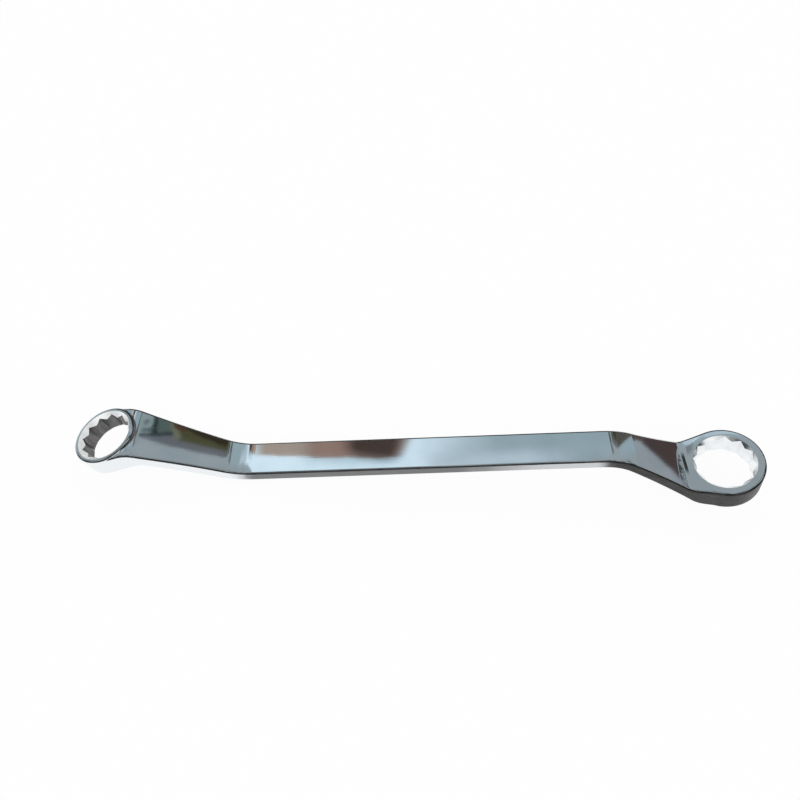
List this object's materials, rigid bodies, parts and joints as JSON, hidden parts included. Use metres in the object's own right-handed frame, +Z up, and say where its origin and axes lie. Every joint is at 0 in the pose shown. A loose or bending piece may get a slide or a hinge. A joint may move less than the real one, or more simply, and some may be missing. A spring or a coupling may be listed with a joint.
{
  "type": "double ring spanner",
  "caption": "Chrome-plated double ring spanner: a flat bar cranked opposite ways at its ends, each neck flaring into a raised twelve-point ring for hexagon nuts.",
  "frame": {"origin": "centre of the bounding box at its base, on the bench that the spanner lies on", "axes": "+X along the tool from the small ring to the large one, +Y across the bar, +Z up"},
  "size_m": [0.2264, 0.0252, 0.02],
  "materials": {
    "polished_chrome": "mirror polished",
    "satin_chrome": "satin"
  },
  "bodies": {
    "root": {"shank": "polished_chrome", "small_neck": "polished_chrome", "small_ring_head": "satin_chrome", "large_neck": "polished_chrome", "large_ring_head": "satin_chrome"}
  },
  "joints": []
}
